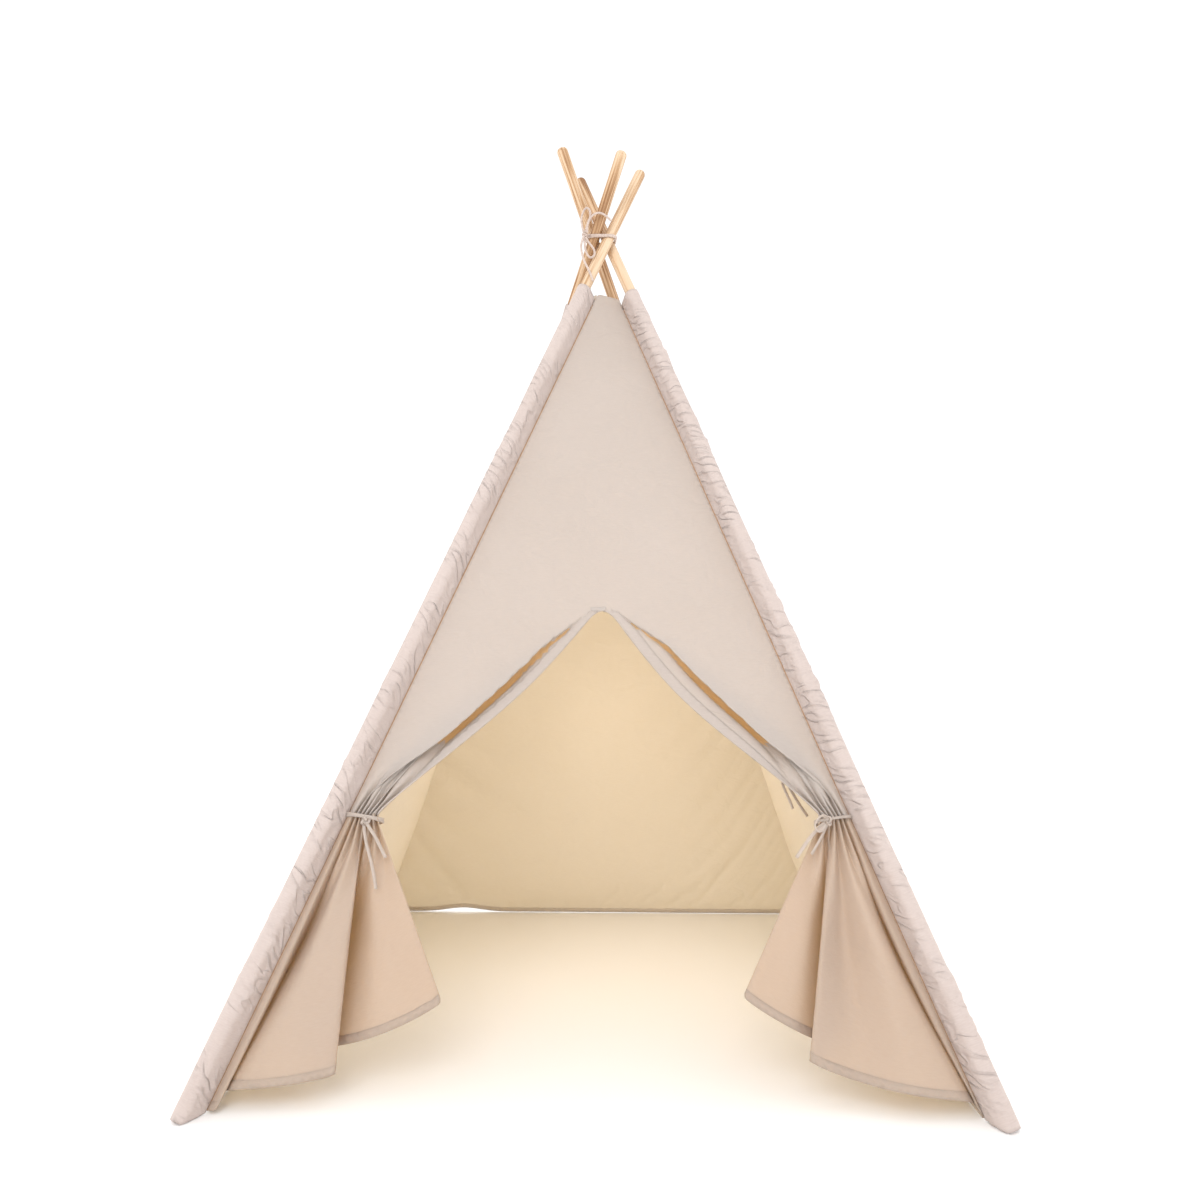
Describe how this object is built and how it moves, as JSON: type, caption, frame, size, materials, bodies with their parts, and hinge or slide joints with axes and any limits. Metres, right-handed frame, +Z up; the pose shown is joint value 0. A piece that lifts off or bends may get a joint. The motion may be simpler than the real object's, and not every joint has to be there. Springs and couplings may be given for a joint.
{
  "type": "teepee tent",
  "caption": "Square canvas play tent on crossed wooden poles in corner sleeves, lashed at the top, with its front door split and tied back to both sides.",
  "frame": {"origin": "on the floor at the centre of the base", "axes": "+Z up, the door faces -Y, +X to the right seen from the door"},
  "size_m": [1.1162, 1.1162, 1.5917],
  "materials": {
    "pole_wood": "sanded pine dowel, unvarnished",
    "ferrule_metal": "plain drawn tube",
    "sleeve_canvas": "doubled natural cotton canvas, crumpled",
    "wall_canvas": "natural off-white plain-weave cotton canvas",
    "door_canvas": "natural off-white plain-weave cotton canvas, gathered",
    "lashing_cord": "twisted cotton cord",
    "tie_tape": "narrow cotton tape"
  },
  "bodies": {
    "lashing": {"lashing_turns": "lashing_cord", "lashing_knot": "lashing_cord", "lashing_bow_upper_loop": "lashing_cord", "lashing_bow_lower_loop": "lashing_cord", "lashing_side_end": "lashing_cord", "lashing_hanging_end": "lashing_cord"},
    "front_left_pole": {"front_left_pole_bottom": "pole_wood", "front_left_pole_middle": "pole_wood", "front_left_pole_top": "pole_wood", "front_left_pole_lower_ferrule": "ferrule_metal", "front_left_pole_upper_ferrule": "ferrule_metal", "front_left_sleeve": "sleeve_canvas"},
    "front_right_pole": {"front_right_pole_bottom": "pole_wood", "front_right_pole_middle": "pole_wood", "front_right_pole_top": "pole_wood", "front_right_pole_lower_ferrule": "ferrule_metal", "front_right_pole_upper_ferrule": "ferrule_metal", "front_right_sleeve": "sleeve_canvas"},
    "back_right_pole": {"back_right_pole_bottom": "pole_wood", "back_right_pole_middle": "pole_wood", "back_right_pole_top": "pole_wood", "back_right_pole_lower_ferrule": "ferrule_metal", "back_right_pole_upper_ferrule": "ferrule_metal", "back_right_sleeve": "sleeve_canvas"},
    "back_left_pole": {"back_left_pole_bottom": "pole_wood", "back_left_pole_middle": "pole_wood", "back_left_pole_top": "pole_wood", "back_left_pole_lower_ferrule": "ferrule_metal", "back_left_pole_upper_ferrule": "ferrule_metal", "back_left_sleeve": "sleeve_canvas"},
    "left_wall": {"left_wall": "wall_canvas", "left_wall_hem": "wall_canvas"},
    "right_wall": {"right_wall": "wall_canvas", "right_wall_hem": "wall_canvas"},
    "back_wall": {"back_wall": "wall_canvas", "back_wall_hem": "wall_canvas"},
    "front_wall": {"front_wall": "wall_canvas", "door_top_patch": "wall_canvas", "left_tie_loop": "tie_tape", "left_tie_knot": "tie_tape", "left_tie_short_end": "tie_tape", "left_tie_long_end": "tie_tape", "right_tie_loop": "tie_tape", "right_tie_knot": "tie_tape", "right_tie_short_end": "tie_tape", "right_tie_long_end": "tie_tape", "right_tie_bow": "tie_tape", "right_closing_tie_short_end": "tie_tape", "right_closing_tie_long_end": "tie_tape"},
    "left_door_flap": {"left_door_flap": "door_canvas"},
    "right_door_flap": {"right_door_flap": "door_canvas"}
  },
  "joints": [
    {"name": "front_left_pole_fold", "type": "hinge", "parent": "lashing", "child": "front_left_pole", "pos_m": [0.01414, -0.01414, 1.426], "axis": [0.6885, -0.7252, 0], "range_deg": [0, 24], "deforming": ["front_left_sleeve", "front_right_sleeve", "back_right_sleeve", "back_left_sleeve", "left_wall", "left_wall_hem", "right_wall", "right_wall_hem", "back_wall", "back_wall_hem", "front_wall", "door_top_patch", "left_door_flap", "right_door_flap", "left_tie_loop", "left_tie_knot", "left_tie_short_end", "left_tie_long_end", "right_tie_loop", "right_tie_knot", "right_tie_short_end", "right_tie_long_end", "right_tie_bow", "right_closing_tie_short_end", "right_closing_tie_long_end"]},
    {"name": "front_right_pole_fold", "type": "hinge", "parent": "lashing", "child": "front_right_pole", "pos_m": [0.01414, 0.01414, 1.426], "axis": [0.7252, 0.6885, 0], "range_deg": [0, 24]},
    {"name": "back_right_pole_fold", "type": "hinge", "parent": "lashing", "child": "back_right_pole", "pos_m": [-0.01414, 0.01414, 1.426], "axis": [-0.6885, 0.7252, 0], "range_deg": [0, 24]},
    {"name": "back_left_pole_fold", "type": "hinge", "parent": "lashing", "child": "back_left_pole", "pos_m": [-0.01414, -0.01414, 1.426], "axis": [-0.7252, -0.6885, 0], "range_deg": [0, 24]},
    {"name": "front_wall_fold", "type": "hinge", "parent": "lashing", "child": "front_wall", "pos_m": [0, 0, 1.426], "axis": [1, 0, 0], "range_deg": [0, 17.82]},
    {"name": "back_wall_fold", "type": "hinge", "parent": "lashing", "child": "back_wall", "pos_m": [0, 0, 1.426], "axis": [-1, 0, 0], "range_deg": [0, 17.82]},
    {"name": "left_wall_fold", "type": "hinge", "parent": "lashing", "child": "left_wall", "pos_m": [0, 0, 1.426], "axis": [0, -1, 0], "range_deg": [0, 17.82]},
    {"name": "right_wall_fold", "type": "hinge", "parent": "lashing", "child": "right_wall", "pos_m": [0, 0, 1.426], "axis": [0, 1, 0], "range_deg": [0, 17.82]},
    {"name": "left_door_flap_swing", "type": "hinge", "parent": "front_wall", "child": "left_door_flap", "pos_m": [-0.51944, -0.52074, 0], "axis": [-0.3449, -0.3275, -0.8797], "range_deg": [0, 25]},
    {"name": "right_door_flap_swing", "type": "hinge", "parent": "front_wall", "child": "right_door_flap", "pos_m": [0.52074, -0.51944, 0], "axis": [-0.3275, 0.3449, 0.8797], "range_deg": [0, 25]}
  ],
  "couplings": [
    {"joint": "front_right_pole_fold", "follows": "front_left_pole_fold", "ratio": 1},
    {"joint": "back_right_pole_fold", "follows": "front_left_pole_fold", "ratio": 1},
    {"joint": "back_left_pole_fold", "follows": "front_left_pole_fold", "ratio": 1},
    {"joint": "front_wall_fold", "follows": "front_left_pole_fold", "ratio": 0.742},
    {"joint": "back_wall_fold", "follows": "front_left_pole_fold", "ratio": 0.742},
    {"joint": "left_wall_fold", "follows": "front_left_pole_fold", "ratio": 0.742},
    {"joint": "right_wall_fold", "follows": "front_left_pole_fold", "ratio": 0.742}
  ]
}
